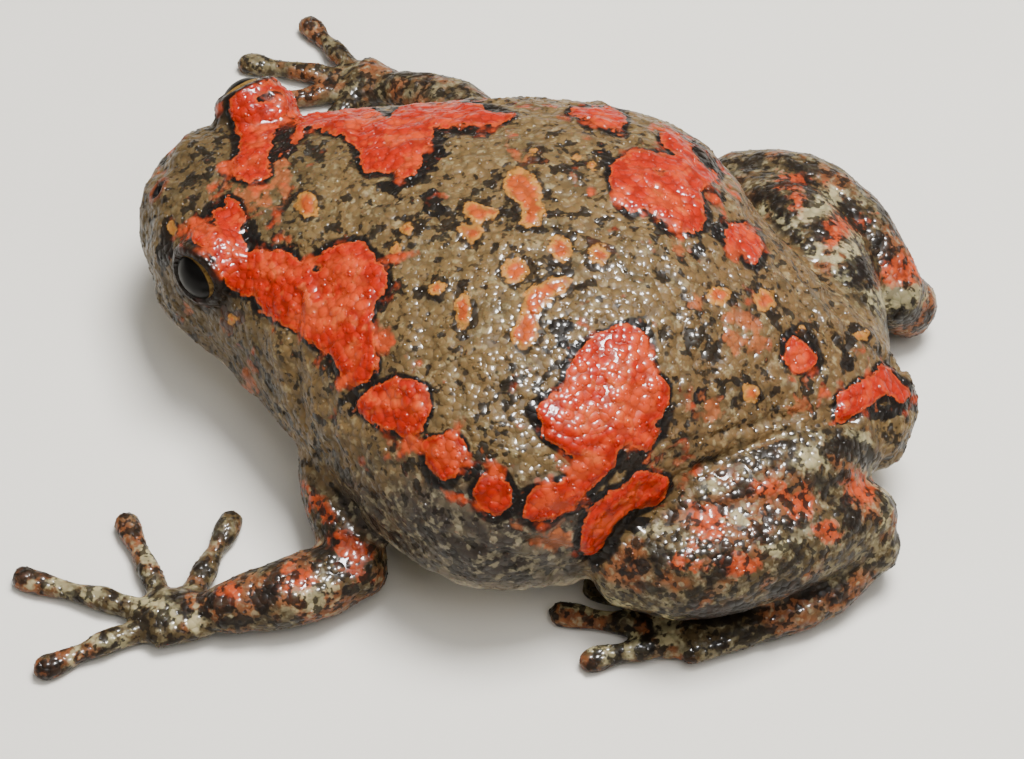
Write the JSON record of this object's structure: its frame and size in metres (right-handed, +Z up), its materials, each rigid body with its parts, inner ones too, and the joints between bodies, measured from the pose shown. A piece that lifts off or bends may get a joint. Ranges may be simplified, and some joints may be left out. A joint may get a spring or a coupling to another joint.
{
  "type": "painted frog",
  "caption": "Still, life-size model of a plump painted frog crouched on the floor, arms spread, legs folded.",
  "frame": {"origin": "on the floor, in the flat of the belly that the frog rests on", "axes": "the frog faces -X, its left side is -Y and +Z is up"},
  "size_m": [0.0613, 0.0658, 0.0224],
  "materials": {
    "back_skin": "moist, finely warty olive brown skin with raised red-orange patches edged in black",
    "head_skin": "moist olive brown skin with black flecks, red-orange on the upper lids and between them",
    "throat_skin": "moist dark grey skin mottled with off-white",
    "arm_skin": "moist brown skin with reddish and cream blotches",
    "leg_skin": "moist skin mottled black, cream and salmon",
    "digit_skin": "moist olive grey skin with cream and black bands",
    "eye": "glossy dark eye with a golden bronze iris ring"
  },
  "bodies": {
    "root": {"torso": "back_skin", "head": "head_skin", "lower_jaw": "throat_skin", "eye_left": "eye", "upper_arm_left": "arm_skin", "forearm_left": "arm_skin", "hand_left": "digit_skin", "thigh_left": "leg_skin", "shank_left": "leg_skin", "tarsus_left": "leg_skin", "foot_left": "digit_skin", "eye_right": "eye", "upper_arm_right": "arm_skin", "forearm_right": "arm_skin", "hand_right": "digit_skin", "thigh_right": "leg_skin", "shank_right": "leg_skin", "tarsus_right": "leg_skin", "foot_right": "digit_skin"}
  },
  "joints": []
}
